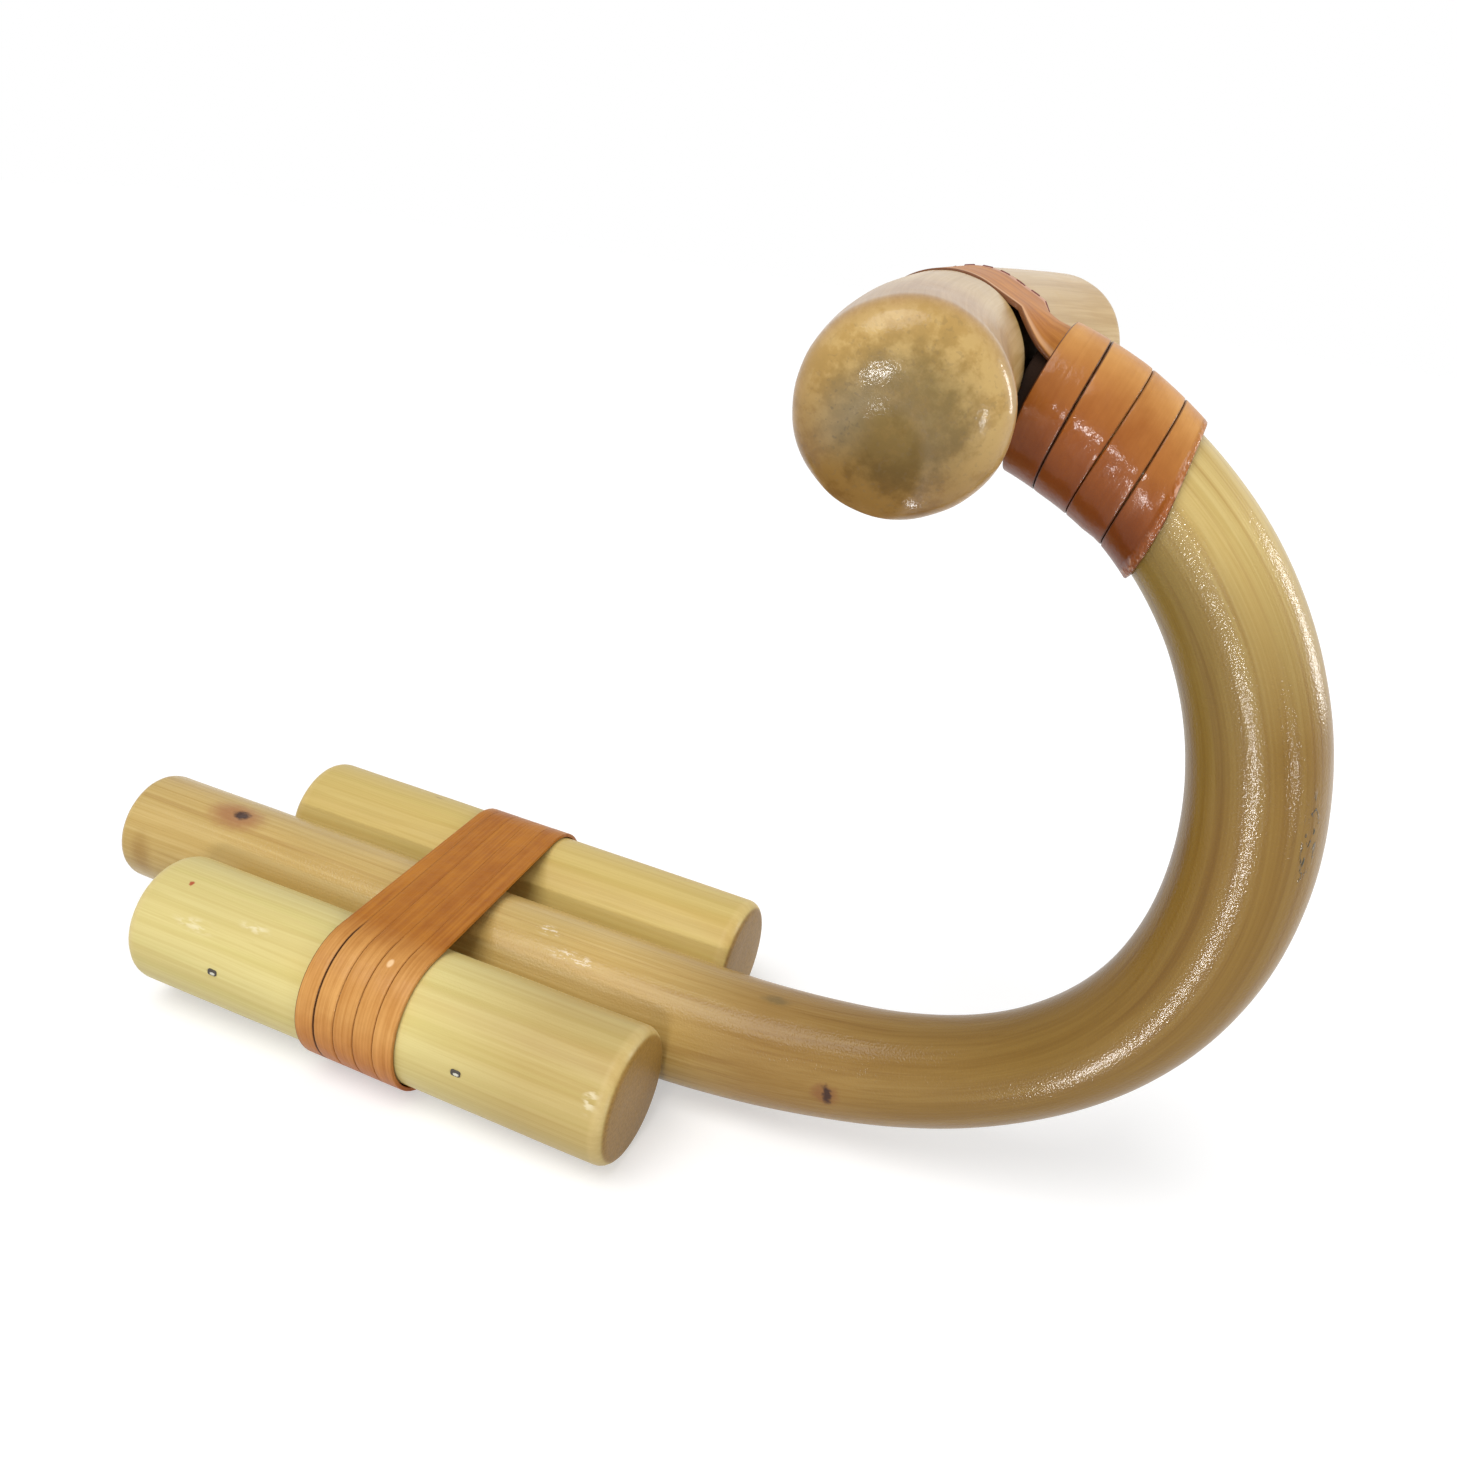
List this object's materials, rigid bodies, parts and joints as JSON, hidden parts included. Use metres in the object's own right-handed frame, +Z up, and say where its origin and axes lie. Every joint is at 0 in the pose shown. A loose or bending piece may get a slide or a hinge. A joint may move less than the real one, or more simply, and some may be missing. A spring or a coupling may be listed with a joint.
{
  "type": "bent cane yoke hook",
  "caption": "Bent cane hook shaped like an ox yoke's bow, with an arched cross roll lashed to its tip and a side roll lashed along each side of its foot.",
  "frame": {"origin": "on the ground, under the middle of the object's box, with the object lying on its foot", "axes": "+X from the stem's foot end to the crook, +Y across the foot towards the far side roll, +Z up"},
  "size_m": [0.3388, 0.163, 0.2301],
  "materials": {
    "stem_cane": "varnished ochre cane, fine grain along the stem",
    "roll_cane": "varnished straw-yellow cane with greenish grain",
    "cross_roll_cane": "varnished tan cane, mottled olive end grain",
    "lashing_leather": "glossy red-brown leather strip",
    "strap_leather": "red-brown leather strap with a stitched edge",
    "dowel_wood": "plain turned hardwood",
    "steel": "dull drawn wire"
  },
  "bodies": {
    "root": {"bent_cane_stem": "stem_cane", "near_side_roll": "roll_cane", "far_side_roll": "roll_cane", "cross_roll": "cross_roll_cane", "cross_roll_dowel": "dowel_wood", "head_sling_strap": "strap_leather", "head_lashing": "lashing_leather", "foot_lashing": "lashing_leather", "near_roll_brad_1": "steel", "near_roll_brad_2": "steel", "far_roll_brad_1": "steel", "far_roll_brad_2": "steel", "outer_strap_tack": "steel", "inner_strap_tack": "steel", "head_lashing_start_tack": "steel", "head_lashing_end_tack": "steel", "foot_lashing_start_tack": "steel", "foot_lashing_end_tack": "steel"}
  },
  "joints": []
}
